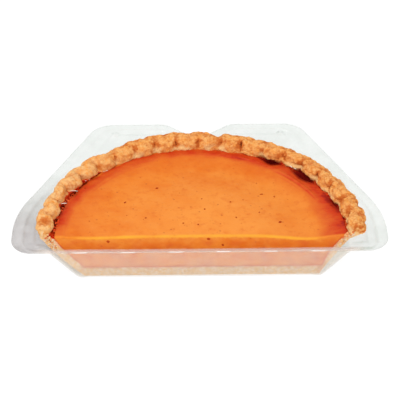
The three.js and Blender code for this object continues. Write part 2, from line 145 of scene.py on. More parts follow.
def uneven(index, purpose):
    """A repeatable uneven number from -1 to 1 for each whole number and purpose."""
    value = np.sin(index * 12.9898 + purpose * 78.233) * 43758.5453
    return 2 * (value - np.floor(value)) - 1


def seen(red, green, blue):
    """The linear base colour of a surface that shows as this colour, 0 to 255, in full light."""
    shares = [channel / 255 for channel in (red, green, blue)]
    linear = [s / 12.92 if s <= 0.04045 else ((s + 0.055) / 1.055) ** 2.4 for s in shares]
    return [channel / LIGHT for channel in linear] + [1.0]


def cloud(points, size, octaves=3, shift=0.0):
    """Soft noise, about -1 to 1, at points of an array whose last axis is xyz. size is its grain in mm."""
    flat = np.asarray(points, float).reshape(-1, 3) / size + shift
    values = [noise.fractal(Vector(p), 1.0, 2.0, octaves) for p in flat]
    return np.array(values).reshape(np.shape(points)[:-1])


def cells(points, size, shift=0.0):
    """Distances from points to the nearest and the second nearest of many scattered centres, which lie
    about size mm apart, as shares of size. They are the basis of crumbs and lumps."""
    flat = np.asarray(points, float).reshape(-1, 3) / size + shift
    values = np.array([noise.voronoi(Vector(p))[0][:2] for p in flat])
    return values.T.reshape(2, *np.shape(points)[:-1])


def add_object(name, data):
    made = bpy.data.objects.new(name, data)
    bpy.context.collection.objects.link(made)
    return made


def ball(subdivisions):
    """Corners and faces of a ball of radius 1."""
    work = bmesh.new()
    bmesh.ops.create_icosphere(work, subdivisions=subdivisions, radius=1.0)
    corners = np.array([vertex.co for vertex in work.verts])
    faces = np.array([[vertex.index for vertex in face.verts] for face in work.faces])
    work.free()
    return corners, faces


class Body:
    """Vertices, faces and the marks of each vertex, collected before they become a mesh."""

    def __init__(self):
        self.points, self.marks, self.faces = np.zeros((0, 3)), np.zeros((0, 4)), []

    def add_points(self, points, marks=0):
        """Adds an array of points, and marks, the four numbers that each carries. Gives their indices."""
        points = np.asarray(points, float)
        shape, first = points.shape[:-1], len(self.points)
        self.points = np.vstack([self.points, points.reshape(-1, 3)])
        self.marks = np.vstack([self.marks, np.broadcast_to(marks, shape + (4,)).reshape(-1, 4)])
        return np.arange(first, len(self.points)).reshape(shape)

    def add_shape(self, points, faces, marks=0):
        self.faces += self.add_points(points, marks)[faces].tolist()

    def add_grid(self, index, closed=False):
        """Quads between the rows and columns of an array of indices, closed round its columns or not."""
        if closed:
            index = np.hstack([index, index[:, :1]])
        a, b = index[:-1, :-1], index[:-1, 1:]
        c, d = index[1:, 1:], index[1:, :-1]
        self.faces += np.stack([a, b, c, d], -1).reshape(-1, 4).tolist()

    def fill(self, loop, axes, spacing):
        """Fills a flat loop of indices with triangles, with new points inside it every spacing. axes are
        the two axes that the loop lies in. Gives the indices of the new points."""
        flat = self.points[loop][:, axes]
        inner = inner_points(flat, spacing)
        place = np.zeros((len(inner), 3)) + self.points[loop].mean(0)
        place[:, axes] = inner
        new = self.add_points(place)
        every = np.concatenate([loop, new])
        vectors = [Vector(p) for p in np.vstack([flat, inner])]
        edges = [(i, (i + 1) % len(loop)) for i in range(len(loop))]
        _, _, faces, origins, _, _ = geometry.delaunay_2d_cdt(vectors, edges, [], 1, 1e-7)
        self.faces += [[int(every[origins[corner][0]]) for corner in face] for face in faces]
        return new

    def make(self, name, material, sharp_above=40):
        """The mesh object, with marks as its colour attribute and faces pointing outwards."""
        mesh = bpy.data.meshes.new(name)
        mesh.from_pydata((self.points * MM + [0, CUT_Y, 0]).tolist(), [], self.faces)
        attribute = mesh.color_attributes.new("marks", "FLOAT_COLOR", "POINT")
        attribute.data.foreach_set("color", self.marks.astype(np.float32).ravel())
        work = bmesh.new()
        work.from_mesh(mesh)
        bmesh.ops.remove_doubles(work, verts=work.verts, dist=0.002 * MM)
        bmesh.ops.dissolve_degenerate(work, edges=work.edges, dist=0.001 * MM)
        bmesh.ops.recalc_face_normals(work, faces=work.faces)
        work.to_mesh(mesh)
        work.free()
        mesh.shade_smooth()
        mesh.set_sharp_from_angle(angle=math.radians(sharp_above))
        mesh.materials.append(material)
        return add_object(name, mesh)


def inner_points(loop, spacing):
    """Points inside a flat loop, on a jittered grid, a little clear of its edge."""
    random = np.random.default_rng(SEED)
    rows = (np.arange(low + spacing / 2, high, spacing) for low, high in zip(loop.min(0), loop.max(0)))
    grid = np.stack(np.meshgrid(*rows), -1).reshape(-1, 2)
    grid += random.uniform(-0.3, 0.3, grid.shape) * spacing
    inside = np.zeros(len(grid), bool)
    nearest = np.full(len(grid), np.inf)
    for a, b in zip(loop, np.roll(loop, -1, axis=0)):
        edge = b - a
        spans = (a[1] > grid[:, 1]) != (b[1] > grid[:, 1])
        crossing = a[0] + (grid[:, 1] - a[1]) / (edge[1] or 1.0) * edge[0]
        inside ^= spans & (grid[:, 0] < crossing)
        share = np.clip(((grid - a) @ edge) / max(edge @ edge, 1e-12), 0, 1)
        nearest = np.minimum(nearest, np.linalg.norm(grid - a - share[:, None] * edge, axis=1))
    return grid[inside & (nearest > 0.35 * spacing)]


# ---- materials ----


class Shader:
    """A node material with a Principled shader, and short ways to add the nodes that feed it."""

    def __init__(self, name, **values):
        self.material = bpy.data.materials.new(name)
        self.material.use_nodes = True
        self.tree = self.material.node_tree
        self.principled = self.tree.nodes["Principled BSDF"]
        self.finish(**values)
        self.place = self.node("TexCoord").outputs["Object"]
        self.x = self.node("SeparateXYZ", {0: self.place}).outputs["X"]
        marks = self.node("VertexColor", layer_name="marks").outputs
        self.marks_colour = marks["Color"]
        self.marks = [*self.node("SeparateColor", {0: marks["Color"]}).outputs[:3], marks["Alpha"]]

    def node(self, kind, inputs=(), **settings):
        """A new node, with inputs as a dictionary of sockets, numbers and colours."""
        node = self.tree.nodes.new("ShaderNode" + kind)
        for name, value in settings.items():
            setattr(node, name, value)
        self.feed(node, dict(inputs))
        return node

    def feed(self, node, inputs):
        for name, source in inputs.items():
            if isinstance(source, bpy.types.NodeSocket):
                self.tree.links.new(source, node.inputs[name])
            else:
                node.inputs[name].default_value = source

    def noise(self, grain, detail=3.0, roughness=0.5, stretch=None):
        """Noise of 0 to 1 whose grain is in millimetres."""
        place = self.place
        if stretch:
            place = self.node("Mapping", {"Vector": place, "Scale": stretch}).outputs[0]
        inputs = {"Vector": place, "Scale": 1 / (grain * MM), "Detail": detail, "Roughness": roughness}
        return self.node("TexNoise", inputs).outputs[0]

    def dots(self, apart, size):
        """1 at scattered round dots of that size and 0 between them, both in millimetres."""
        texture = self.node("TexVoronoi", {"Vector": self.place, "Scale": 1 / (apart * MM)})
        return self.ramp(texture.outputs["Distance"], size / apart, 0.5 * size / apart)

    def ramp(self, value, low, high, out_low=0.0, out_high=1.0):
        """value from low to high as out_low to out_high, smoothly, and no further."""
        inputs = enumerate((value, low, high, out_low, out_high))
        return self.node("MapRange", inputs, interpolation_type="SMOOTHSTEP").outputs[0]

    def math(self, operation, *values):
        return self.node("Math", enumerate(values), operation=operation).outputs[0]

    def product(self, first, second):
        return self.math("MULTIPLY", first, second)

    def mix(self, share, first, second):
        """Two colours mixed by share."""
        return self.node("Mix", {0: share, 6: first, 7: second}, data_type="RGBA").outputs[2]

    def layers(self, colour, *layers):
        """A colour under others, each of which covers its own share of what is below it."""
        for share, cover in layers:
            colour = self.mix(share, colour, cover)
        return colour

    def bump(self, height, distance, **under):
        """A bump of that many millimetres, laid over another one where Normal gives that."""
        return self.node("Bump", {"Height": height, "Distance": distance * MM, **under}).outputs[0]

    def finish(self, **inputs):
        """Feeds the Principled shader's own inputs, whose names have _ for a space here."""
        self.feed(self.principled, {name.replace("_", " "): source for name, source in inputs.items()})
        return self.material


GOLDEN = seen(255, 167, 80)
LIGHT_GOLDEN = seen(255, 200, 134)
# The two browns below carry the baking together with painted shade in pits, creases and dips of the relief.
BROWN_AND_SHADE = seen(218, 116, 48)
PIT_SHADE_BROWN = seen(140, 56, 24)
PALE_PASTRY = seen(255, 203, 136)
CUT_PASTRY = seen(255, 226, 196)
CRUMB_LIGHT = seen(255, 202, 128)
CRUMB_DARK = seen(214, 118, 54)
SOAKED = seen(255, 84, 24)
SOAKED_RED = seen(205, 22, 6)
# The maroon below is partly the skin in the dark gaps and partly painted shade.
MAROON = seen(124, 10, 4)

# The crust's marks: how browned, where the pits, the creases and the dips in the relief carry painted shade
# besides the baking; how pale, with a painted highlight on the crumbs' tops; how soaked by the filling; and
# how deep in the dark gap, a maroon that is partly the skin there and partly painted shade.


def pastry_material():
    shader = Shader("baked_pastry", Roughness=0.8, Specular_IOR_Level=0.06)
    browning_and_shade, pale, soaked, gap_skin_and_shade = shader.marks
    lightest = shader.ramp(shader.x, -50 * MM, -85 * MM, 0.35, 1)
    crumbs = shader.noise(1.5, 3, 0.65)
    crumbly = shader.ramp(shader.x, -80 * MM, 0, 0.75, 1)
    uneven_brown = shader.ramp(shader.noise(1.6, 4, 0.65), 0.25, 0.6, 0.6, 1.25)
    wavering = shader.product(browning_and_shade, uneven_brown)
    colour = shader.layers(
        GOLDEN,
        (shader.product(lightest, shader.ramp(shader.noise(4.0, 4, 0.6), 0.32, 0.6)), LIGHT_GOLDEN),
        (shader.product(crumbly, shader.ramp(crumbs, 0.5, 0.64, 0, 0.6)), CRUMB_LIGHT),
        (shader.product(crumbly, shader.ramp(crumbs, 0.48, 0.36, 0, 0.45)), CRUMB_DARK),
        # Browner by the first mark: baking together with painted shade in pits, creases and hollows.
        (shader.ramp(wavering, 0.08, 0.55), BROWN_AND_SHADE),
        (shader.ramp(wavering, 0.68, 1.15), PIT_SHADE_BROWN),
        (shader.ramp(pale, 0, 0.5), PALE_PASTRY),
        (shader.product(shader.ramp(pale, 0.45, 0.95), shader.ramp(crumbs, 0.38, 0.6)), CUT_PASTRY),
        (soaked, shader.mix(shader.ramp(crumbs, 0.42, 0.58), SOAKED_RED, SOAKED)),
        # Maroon in the dark gaps: partly skin, partly painted shade.
        (gap_skin_and_shade, MAROON),
    )
    coarse = shader.bump(shader.noise(1.2, 4, 0.65), 0.5)
    return shader.finish(Base_Color=colour, Normal=shader.bump(shader.noise(0.5, 2, 0.6), 0.2, Normal=coarse))


DEEP_ORANGE = seen(237, 115, 20)
ORANGE = seen(245, 135, 38)
BRIGHT_ORANGE = seen(253, 155, 62)
DULL_ORANGE = seen(226, 106, 36)
RING_ORANGE = seen(230, 102, 34)
RING_RED = seen(215, 60, 18)
RING_EDGE = seen(172, 34, 18)
# The yellow below is a painted highlight along the cut's top edge.
EDGE_HIGHLIGHT_YELLOW = seen(255, 176, 50)
SPICE = seen(184, 82, 34)

# The filling's marks: how red its ring is; how bright its edge, a painted highlight along the cut and painted
# light beside the crust's lip at the back; how deep in the dark gap, a maroon that is partly the skin there
# and partly painted shade; and how light its middle, a painted pool of light over random lighter patches.


def custard_material():
    shader = Shader("pumpkin_custard", Specular_IOR_Level=0.11)
    red, edge, gap_skin_and_shade, light = shader.marks
    streaks = shader.noise(26, 4, 0.55, stretch=(1, 1.8, 1))
    mottle = shader.noise(4.5, 4, 0.6)
    uneven_red = shader.ramp(shader.noise(6, 4, 0.6, stretch=(0.6, 1.2, 1)), 0.3, 0.65, 0.78, 1.12)
    wavering = shader.product(red, uneven_red)
    colour = shader.layers(
        DEEP_ORANGE,
        (shader.ramp(streaks, 0.35, 0.65), ORANGE),
        # Lighter in the middle: a painted pool of light, over random lighter patches.
        (light, BRIGHT_ORANGE),
        (shader.ramp(mottle, 0.5, 0.75, 0, 0.45), DULL_ORANGE),
        (shader.product(shader.dots(7.5, 0.9), 0.5), SPICE),
        (shader.product(shader.dots(4.2, 0.5), 0.35), SPICE),
        (shader.ramp(wavering, -0.05, 0.55), RING_ORANGE),
        (shader.ramp(wavering, 0.35, 0.9), RING_RED),
        (shader.ramp(wavering, 0.8, 1.05), RING_EDGE),
        # A painted highlight along the cut's top edge, and painted light beside the crust's lip.
        (edge, EDGE_HIGHLIGHT_YELLOW),
        # Maroon in the dark gaps: partly skin, partly painted shade.
        (gap_skin_and_shade, MAROON),
    )
    grain = shader.bump(shader.noise(0.8, 3, 0.6), 0.05)
    waves = shader.bump(shader.noise(7, 2), 0.5, Normal=grain)
    return shader.finish(Base_Color=colour, Normal=waves, Roughness=shader.ramp(mottle, 0.3, 0.7, 0.4, 0.55))


# The tray's marks: the colour of its haze and how much of it there is.


def plastic_material():
    shader = Shader("clear_plastic", Roughness=0.14, IOR=1.5)
    clouds = shader.ramp(shader.noise(14, 4, 0.6), 0.3, 0.7, 0.85, 1.15)
    shader.finish(Base_Color=shader.marks_colour, Alpha=shader.product(shader.marks[3], clouds))
    gloss = shader.node("BsdfGlossy", {"Roughness": 0.22})
    grazing = shader.math("POWER", shader.node("LayerWeight", {"Blend": 0.5}).outputs["Facing"], 4.0)
    shine = shader.math("MULTIPLY_ADD", grazing, 0.14, 0.014)
    both = shader.node("MixShader", {0: shine, 1: shader.principled.outputs[0], 2: gloss.outputs[0]})
    shader.feed(shader.tree.nodes["Material Output"], {"Surface": both.outputs[0]})
    return shader.material


# ---- the crust ----

SLICES = CRIMPS * 36
OUTER_STEPS, RIM_STEPS, INNER_STEPS, FLOOR_STEPS = 20, 86, 12, 4
CUT_SPACING = 0.65
# Where something sets in round the rim and where it is whole, in degrees.
LEFT, RIGHT, SLIM, CRUMBLY = (118, 142), (66, 44), (145, 158), (80, 100)
FLARED_RIGHT, FLARED_LEFT, LEFT_END, NEAR_CUT = (30, 8), (166, 176), (155, 175), (14, 2)
FLATTENED = (72, 20)  # the middle and the spread of the flat stretch, in degrees
LUMP_SIZE, CRUMB_SIZE, ROUGH_SIZE, FINE_SIZE = 5.5, 2.9, 4.0, 1.5  # mm
LEFT_FULLNESS = -0.15
PINCH = (1.7, 1.9, 1.15)  # creases that only the left lobes have, right over the rim
DOUGH_LIP = (0.9, 3.5, 0.3)  # soft dough that meets the filling, except at the left end
LEFT_PLUMPNESS, BACK_PLUMPNESS = 0.5, -0.25  # how much further the crimping goes there than in the solids
MEAN_RELIEF = 0.35
# A brown hollow near each end: x, y, size and how deep, where 1 is END_DIMPLE_DEPTH.
END_DIMPLES = ((-100.8, 7.2, 4.0, 1.0), (98.1, 19.0, 2.6, 0.6))
END_DIMPLE_DEPTH, END_DIMPLE_BROWN = 1.5, 0.29


def felt(feature, turn):
    size, middle, spread = feature
    return size * hump(turn, middle, spread)


def summed(places, degrees):
    return sum(size * hump(degrees, place, spread) for place, spread, size in places)


def parts(angle):
    """How far an angle lies in the left part of the rim, in the middle part and in the right one."""
    left, right = smooth(*LEFT, np.degrees(angle)), smooth(*RIGHT, np.degrees(angle))
    return left, (1 - left) * (1 - right), right


def lobe_at(angle):
    """0 at a crease and 1 in the middle of a lobe."""
    return np.abs(np.sin(CRIMPS * angle)) ** (LOBE_FULLNESS + LEFT_FULLNESS * parts(angle)[0])


def rim_reach(angle, turn):
    """Distance from the middle of the rim's section to its surface."""
    crimp = np.floor(CRIMPS * angle / np.pi)
    lobe = lobe_at(angle)
    own_lobe = lobe * (1 + LOBE_VARIETY * uneven(crimp, 1))
    back = np.abs(np.cos(CRIMPS * angle)) ** LOBE_FULLNESS
    degrees = np.degrees(angle)
    left, middle, _ = parts(angle)
    slim = 1 - LEFT_SLIMNESS * smooth(*SLIM, degrees)
    reach = np.where(np.cos(turn) > 0, RIM_OUT, RIM_IN) * slim
    across = (np.abs(np.cos(turn)) / reach) ** RIM_SQUARENESS
    upwards = (np.abs(np.sin(turn)) / RIM_UP) ** RIM_SQUARENESS
    lumps, other_lumps = (np.sin(along * angle + over * turn) for along, over in LUMPS)
    from_cut = np.minimum(angle, np.pi - angle)
    crimping = (
        (own_lobe - MEAN_LOBE) * felt(BULGE, turn)
        - (1 - lobe) ** 2 * felt(PIT, turn) * (1 + PIT_VARIETY * uneven(crimp, 3))
        - (MEAN_LOBE - back) * felt(DENT, turn)
        + (lobe * lobe - MEAN_LOBE) * felt(RISE, turn)
    )
    return (
        (across + upwards) ** (-1 / RIM_SQUARENESS)
        + crimping * (1 + LEFT_PLUMPNESS * left + BACK_PLUMPNESS * middle)
        + (0.25 - (1 - lobe) ** 2) * felt(PINCH, turn) * left
        + lobe * uneven(crimp, 2) * felt(SHIFT, turn)
        + LUMP_HEIGHT * lumps * other_lumps
        - hump(from_cut, 0, CRUMBLE_ANGLE) * felt(CRUMBLE, turn) * (0.5 + 0.5 * smooth(*CRUMBLY, degrees))
        - summed(CHIPS, degrees) * felt(CHIPPED, turn)
        - summed(TUCKS, degrees) * felt(TUCK, turn)
        - hump(degrees, 0, UNDERCUT_SPREAD) * felt(UNDERCUT, turn)
        + felt(DOUGH_LIP, turn) * (1 - left) * (1 - np.clip(gap_values(angle, 3), 0, 1))
    )


def rim_shift(angle):
    """How far out the rim stands of a true circle, in mm."""
    degrees = np.degrees(angle)
    flare = RIGHT_FLARE * smooth(*FLARED_RIGHT, degrees) + LEFT_FLARE * smooth(*FLARED_LEFT, degrees)
    return flare - UPPER_RIGHT_FLAT * hump(degrees, *FLATTENED)


def wall_radius(share, foot, top, belly):
    """Radius of a wall that bellies out between its foot and its top, at a share of its height."""
    return toward(foot, top, share) + belly * 4 * share * (1 - share)


def outer_wall(angle, share):
    undercut = UNDERCUT_WALL * hump(np.degrees(angle), 0, UNDERCUT_SPREAD)
    top = CRUST_WALL_TOP_RADIUS + rim_shift(angle) - undercut
    left_end = smooth(*LEFT_END, np.degrees(angle))
    belly = OUTER_BELLY + OUTER_LEAN * np.cos(angle) - LEFT_BELLY_IN * left_end
    return wall_radius(share, CRUST_FOOT_RADIUS - LEFT_FOOT_IN * left_end, top, belly)


def inner_wall(angle, share):
    from_cut = np.degrees(np.minimum(angle, np.pi - angle))
    foot = CRUST_FLOOR_RADIUS + CRUST_FLOOR_LEAN * np.cos(angle)
    top = CRUST_INNER_TOP_RADIUS + rim_shift(angle) - THICKER_AT_CUT * smooth(*NEAR_CUT, from_cut)
    top = top - RIGHT_CORNER * hump(np.degrees(angle), 0, RIGHT_CORNER_SPREAD)
    return wall_radius(share, foot, top, INNER_BELLY + INNER_LEAN * np.cos(angle))


# Where the filling has drawn back from the crust: the place and its spread in degrees, how far the filling
# stands back and how far the crust is hollow behind it, in mm.
GAPS = (
    (58.5, 4.6, 2.0, 3.4), (42.0, 5.4, 2.0, 4.2), (20.5, 5.0, 1.0, 1.6), (143.5, 1.6, 0.4, 2.4),
    (150.8, 2.6, 0.5, 3.2), (161.2, 3.0, 0.5, 3.2), (170.6, 3.0, 0.6, 3.0),
)
GAP_DEPTH = 12.0  # how far down the crust is hollow


def gap_values(angle, column):
    """Column 2 or 3 of GAPS round the crust."""
    degrees = np.degrees(angle)
    return sum(gap[column] * hump(degrees, gap[0], gap[1]) for gap in GAPS)


def crust_sections(angles):
    """Radius, height and turn of every point of the crust's sections, a row for each angle. Away from the
    rim the turn is -9 on the outer wall and 9 on the inner wall and floor."""
    angle = angles[:, None]
    up = np.linspace(0, 1, OUTER_STEPS + 1)
    down = np.linspace(1, 0, INNER_STEPS + 1)
    turn = np.linspace(RIM_UNDERSIDE, RIM_INNER_END, RIM_STEPS + 1)
    inwards = np.linspace(1, 0, FLOOR_STEPS + 1)
    reach = rim_reach(angle, turn)
    inner_height = toward(CRUST_FLOOR, CRUST_INNER_TOP, down)
    hollow = gap_values(angle, 3) * smooth(CRUST_INNER_TOP - GAP_DEPTH, CRUST_INNER_TOP - 3, inner_height)
    stretches = [
        (outer_wall(angle, 0) * inwards[:0:-1], CRUST_FOOT, -9),
        (outer_wall(angle, up), toward(CRUST_FOOT, CRUST_WALL_TOP, up), -9),
        (RIM_RADIUS + rim_shift(angle) + reach * np.cos(turn), RIM_MIDDLE + reach * np.sin(turn), turn),
        (inner_wall(angle, down) + hollow, inner_height, 9),
        (inner_wall(angle, 0) * inwards[1:], CRUST_FLOOR, 9),
    ]
    return np.concatenate([np.broadcast_arrays(*stretch) for stretch in stretches], -1)


def around(radius, angle, height):
    return np.stack([radius * np.cos(angle), radius * np.sin(angle), height], -1)


def crust_relief(points, angle, turn):
    """Height of the baked surface in mm: smooth lumps on the left and coarse, cracked crumbs on the right."""
    left, middle, right = parts(angle)
    rough = right + 0.5 * middle
    near = cells(points, LUMP_SIZE)[0]
    crumb, next_crumb = cells(points, CRUMB_SIZE, 41.0)
    relief = (
        (0.6 + 0.15 * left) * (0.45 - 1.3 * near * near)
        + (0.45 + 0.4 * rough) * (0.4 - 1.1 * crumb * crumb)
        + 0.35 * cloud(points, ROUGH_SIZE, 2, 17.1)
        + (0.22 + 0.1 * rough) * cloud(points, FINE_SIZE, 3, 31.7)
        - 0.14 * right * smooth(0.16, 0, next_crumb - crumb)
    )
    on_rim = smooth(RIM_UNDERSIDE, RIM_UNDERSIDE + 0.4, turn)
    on_rim = on_rim * smooth(RIM_INNER_END, RIM_INNER_END - 0.25, turn)
    on_wall = 0.4 * smooth(CRUST_WALL_TOP, CRUST_WALL_TOP - 2, points[..., 2])
    return relief * np.where(turn > 5, 0, np.where(turn < -5, on_wall, on_rim))


def make_crust(material):
    angles = np.linspace(0, np.pi, SLICES + 1)
    radius, height, turn = crust_sections(angles)
    angle = angles[:, None] + 0 * radius
    points = around(radius, angle, height)

    # Outwards on each section is square to the way that the section runs.
    along_r, along_z = np.gradient(radius, axis=1), np.gradient(height, axis=1)
    length = np.hypot(along_r, along_z)
    out_r, out_z = along_z / length, -along_r / length
    relief = crust_relief(points, angle, turn) - END_DIMPLE_DEPTH * dimple(points)
    relief -= MEAN_RELIEF * smooth(RIM_UNDERSIDE, 0, turn) * smooth(RIM_INNER_END, 3.2, turn)
    relief[(radius < CRUST_FOOT_RADIUS - 1) | (height < CRUST_FOOT + 1)] = 0
    on_axis = radius < 1e-6
    radius = np.where(on_axis, 0, radius + out_r * relief)
    height = height + np.where(on_axis, 0, out_z * relief)
    points = around(radius, angle, height)
    points[[0, -1], :, 1] = 0

    body = Body()
    index = body.add_points(points, crust_marks(angle, turn, points, relief))
    body.add_grid(index)
    loop = np.concatenate([index[0], index[-1, -2:0:-1]])
    new = body.fill(loop, [0, 2], CUT_SPACING)
    place = body.points[new]
    body.marks[new] = cut_marks(place)
    fine, rough = cloud(place, FINE_SIZE, 3, 5.1), cloud(place, ROUGH_SIZE, 2, 9.4)
    body.points[new, 1] += 0.15 + 0.35 * fine + 0.2 * rough
    return body.make("pastry_crust", material)


def crust_marks(angle, turn, points, relief):
    left, middle, right = parts(angle)
    lobe = lobe_at(angle)
    crimp = np.floor(CRIMPS * angle / np.pi)
    on_rim = np.abs(turn) < 5
    grain = cloud(points, 4.5, 3, 3.3)
    # Pits and creases between the lobes turn browner, partly from baking and partly as painted shade in those
    # hollows.
    pit_turn = 2.6 + 0.25 * uneven(crimp, 4)
    pits = (1 - lobe) ** 1.4 * hump(turn, pit_turn, 0.65) * (0.52 - 0.28 * left + 0.32 * uneven(crimp, 3))
    pits = pits * (1 + 1.3 * cloud(points, 2.5, 2, 12.5))
    crease = (1 - lobe) ** 1.3 * hump(turn, 2.4, 0.9) * (0.23 - 0.05 * left)
    outer = hump(turn, 0.75, 0.65) * (0.22 * middle + 0.1 * right + 0.06 * left)
    # Browner where the relief dips: painted shade.
    cavity = smooth(0.15, -0.5, relief) * (0.33 - 0.04 * left)
    browning_and_shade = np.where(on_rim, 0.9 * pits + crease + outer + cavity + 0.14 * grain - 0.11, 0.05)
    browning_and_shade += END_DIMPLE_BROWN * dimple(points) * (1 + 1.2 * cloud(points, 2.2, 3, 20.3))
    lip = hump(turn, 3.3, 0.4) * (1 - 0.5 * left) * smooth(-0.1, 0.3, cloud(points, 9, 2, 8.8))
    # Paler where the relief stands up: a painted highlight on the crumbs' tops.
    crumb_top_highlight = (0.45 + 0.15 * left) * smooth(0.2, 0.8, relief) * on_rim
    underside = 0.75 * (turn < -5) + 0.5 * hump(turn, RIM_UNDERSIDE, 0.3)
    pale = np.clip(0.55 * lip + crumb_top_highlight + underside, 0, 1)
    soaked = np.where(turn > 5, 1.0, smooth(3.6, 3.85, turn + 0.4 * left + 0.2 * grain))
    inside = smooth(1.0, 4.0, points[..., 1])
    gap = np.clip(gap_values(angle, 3) / 3, 0, 1)
    on_wall = smooth(32.8, 31, points[..., 2])
    # Maroon on the inner wall and in the gaps: partly the skin there and partly painted shade.
    gap_skin_and_shade = np.where(turn > 5, np.maximum(on_wall, gap), gap * smooth(3.35, 3.6, turn))
    gap_skin_and_shade = gap_skin_and_shade * inside * (1 - 0.7 * left)
    return np.stack([np.clip(browning_and_shade, 0, 1), pale * (1 - soaked), soaked, gap_skin_and_shade], -1)


def cut_marks(points):
    """Marks of the crust's cut faces: pale crumb below and golden at the rim's two ends."""
    x, _, height = np.moveaxis(points, -1, 0)
    right = smooth(-20, 20, x)
    grain = cloud(points, 2.2, 3, 6.1)
    pale = np.clip(smooth(42 - 4 * right, 35 - 2 * right, height + 3 * grain), 0, 1)
    browning_and_shade = np.clip(0.1 + 0.3 * right * smooth(34, 38, height) + 0.6 * grain * (1 - 0.5 * pale), 0, 0.7)
    over_floor = smooth(80, 76, np.abs(x))
    stained = smooth(CRUST_FLOOR - 2.6, CRUST_FLOOR + 0.4, height + 1.6 * cloud(points, 4.0, 3, 14.2))
    wall_share = np.clip((height - CRUST_FLOOR) / (CRUST_INNER_TOP - CRUST_FLOOR), 0, 1)
    inner = inner_wall(np.where(right > 0.5, 0, np.pi), wall_share)
    beside = smooth(2.6, 0, np.abs(x) - inner + 2.0 * cloud(points, 3.0, 3, 24.2))
    soaked = 0.5 * over_floor * stained + 0.35 * beside * (1 - over_floor)
    return np.stack([browning_and_shade, pale * (0.95 - 0.5 * smooth(0.15, 0.5, grain)), soaked, 0 * pale], -1)


def dimple(points):
    """1 in the middle of each brown hollow on the crust's top and 0 away from them."""
    value = np.zeros(points.shape[:-1])
    for x, y, size, deep in END_DIMPLES:
        away = np.hypot(points[..., 0] - x, points[..., 1] - y)
        value = value + deep * (hump(away, 0, size) - 0.3 * hump(away, 1.5 * size, 0.5 * size))
    return value * smooth(RIM_MIDDLE, RIM_MIDDLE + 3, points[..., 2])


# ---- the filling ----

COLUMNS = 380
END_ANGLE = math.radians(1.6)
TOP_ROWS, WALL_ROWS = 90, 16
FACE_SPACING, BASE_SPACING = 1.1, 12.0
EDGE_ROUND, SCALLOP, RIPPLE = 0.8, 0.3, 0.06
EDGE_ROWS = np.array([0, 0.08, 0.2, 0.35, 0.55, 0.8, 1.1])
TERRACE, TERRACE_RADIUS = 0.35, 88.4  # how far the surface steps up near the crust, and where, in mm
# Ridges in the surface that run along the crust: from and to in degrees, radius and height in mm.
WRINKLES = ((24, 58, 88.0, 0.55), (34, 52, 85.4, 0.4), (62, 92, 89.8, 0.35), (108, 150, 87.5, 0.3))
WRINKLE_WIDTH, WRINKLE_END = 0.7, 8  # mm, and the degrees over which it dies away


def filling_edge(angle):
    """Radius of the edge of the filling's top."""
    scallops = SCALLOP * np.abs(np.sin(CRIMPS * angle + 0.6))
    return inner_wall(angle, 1) - GAP - gap_values(angle, 2) - scallops


def wrinkles(radius, degrees):
    """Height of the ridges in the filling's surface."""
    height = 0 * radius
    for start, end, middle, size in WRINKLES:
        along = smooth(start, start + WRINKLE_END, degrees) * smooth(end, end - WRINKLE_END, degrees)
        height = height + size * along * hump(radius, middle, WRINKLE_WIDTH)
    return height


def filling_level(x, y):
    """Height of the filling's top."""
    radius, angle = np.hypot(x, y), np.arctan2(y, x)
    degrees = np.degrees(angle)
    spread = np.where(radius < SAG_RADIUS, SAG_INNER_SPREAD, SAG_OUTER_SPREAD)
    level = FILLING_LEVEL - (SAG + SAG_LEAN * np.cos(angle)) * hump(radius, SAG_RADIUS, spread)
    gap = np.clip(gap_values(angle, 2) / 3, 0, 1.2)
    level = level - 1.8 * gap * smooth(5, 0, filling_edge(angle) - radius)
    past_step = radius - TERRACE_RADIUS - 0.8 * np.sin(7 * angle)
    level = level + TERRACE * smooth(-0.5, 0.5, past_step) * smooth(30, 50, degrees)
    return level + wrinkles(radius, degrees)


def make_filling(material):
    body = Body()
    angles = np.linspace(END_ANGLE, np.pi - END_ANGLE, COLUMNS + 1)
    edge = filling_edge(angles)
    x, depth = np.sort(edge * np.cos(angles))[::-1], edge * np.sin(angles)
    share = np.linspace(0, 1, TOP_ROWS + 1)[1:, None]
    y = np.vstack([EDGE_ROWS[:, None] + 0 * x, toward(EDGE_ROWS[-1], depth, share)])
    fillet = EDGE_ROUND - np.sqrt(np.maximum(0, EDGE_ROUND**2 - np.maximum(0, EDGE_ROUND - y) ** 2))
    top = np.stack(np.broadcast_arrays(x, y, filling_level(x, y) - fillet), -1)
    top[..., 2] += RIPPLE * cloud(top, 9, 3)
    index = body.add_points(top, filling_marks(top))
    body.add_grid(index)

    # The side wall hangs from the top's outline: up one end column, round the back and down the other.
    outline = np.concatenate([index[:-1, 0], index[-1], index[-2::-1, -1]])
    x, y, z = body.points[outline].T
    angle = np.arctan2(y, x)
    down = np.linspace(0, 1, WALL_ROWS + 1)[1:, None]
    height = toward(z, CRUST_FLOOR + GAP, down)
    up = np.clip((height - CRUST_FLOOR) / (CRUST_INNER_TOP - CRUST_FLOOR), 0, 1)
    fitted = inner_wall(angle, up) - GAP
    back = np.maximum(0, fitted - np.hypot(x, y)) * np.maximum(0, 1 - 2.5 * down) ** 1.2
    below = around(fitted - back, angle, height)
    inside = smooth(1.0, 4.0, below[..., 1:2])
    wall = body.add_points(below, [0.5, 0, 0, 0] + inside * [0, 0, 0.9, 0])
    body.add_grid(np.vstack([outline[None, :], wall]))

    front = np.concatenate([index[0], wall[:, -1], wall[::-1, 0]])
    new = body.fill(front, [0, 2], FACE_SPACING)
    cut = body.points[new]
    body.marks[new] = filling_cut_marks(cut)
    body.points[new, 1] += 0.12 * cloud(cut, 3.0, 3, 2.2)
    body.fill(wall[-1], [0, 1], BASE_SPACING)
    return body.make("pumpkin_custard", material)


